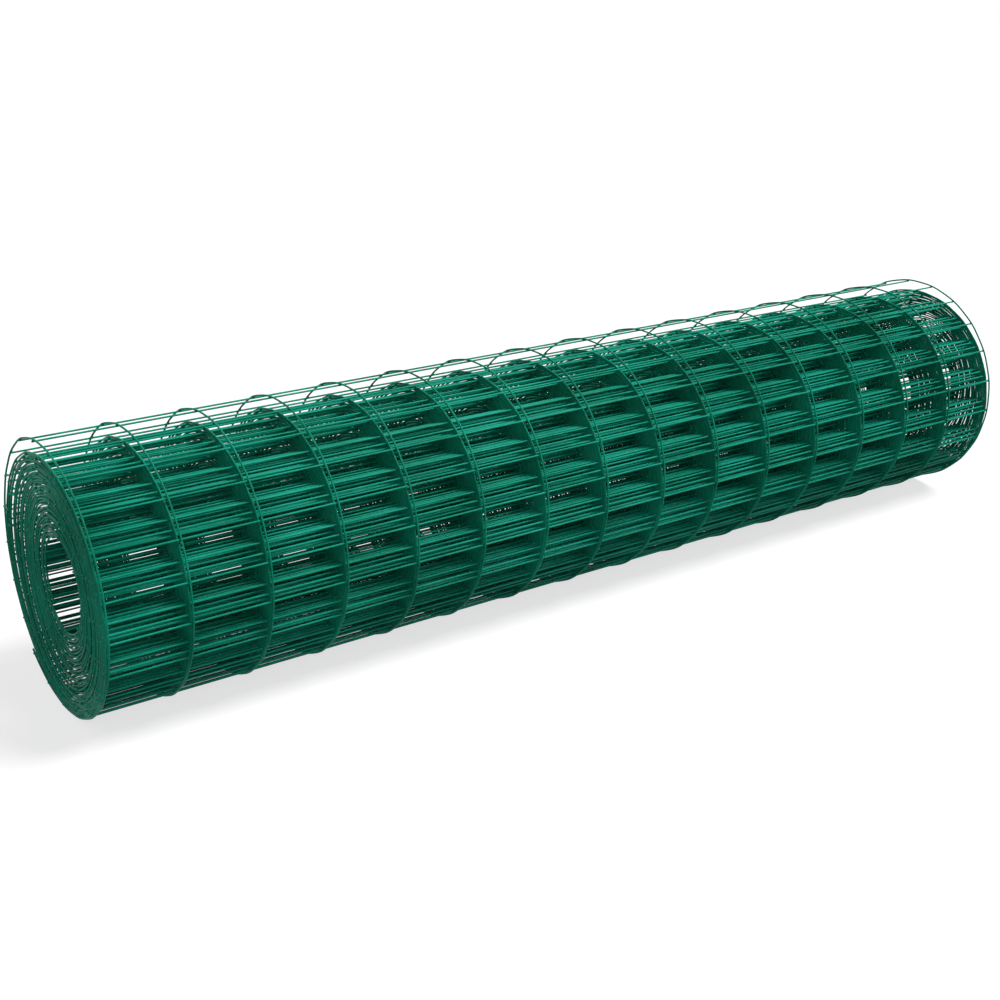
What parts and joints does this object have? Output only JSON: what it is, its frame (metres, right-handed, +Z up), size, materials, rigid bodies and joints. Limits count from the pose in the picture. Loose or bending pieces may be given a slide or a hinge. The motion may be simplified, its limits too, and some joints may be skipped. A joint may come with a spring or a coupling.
{
  "type": "roll of wire fencing",
  "caption": "Roll of green coated welded wire mesh fencing lying on its side, with a bore off its centre and its turns showing on both ends.",
  "frame": {"origin": "on the floor, under the middle of the roll", "axes": "+X along the roll, -Y towards the front that the picture shows, +Z up"},
  "size_m": [1.508, 0.3398, 0.34],
  "materials": {
    "coated_wire": "semi-gloss green plastic coating on steel wire"
  },
  "bodies": {
    "root": {"mesh_roll": "coated_wire"}
  },
  "joints": []
}
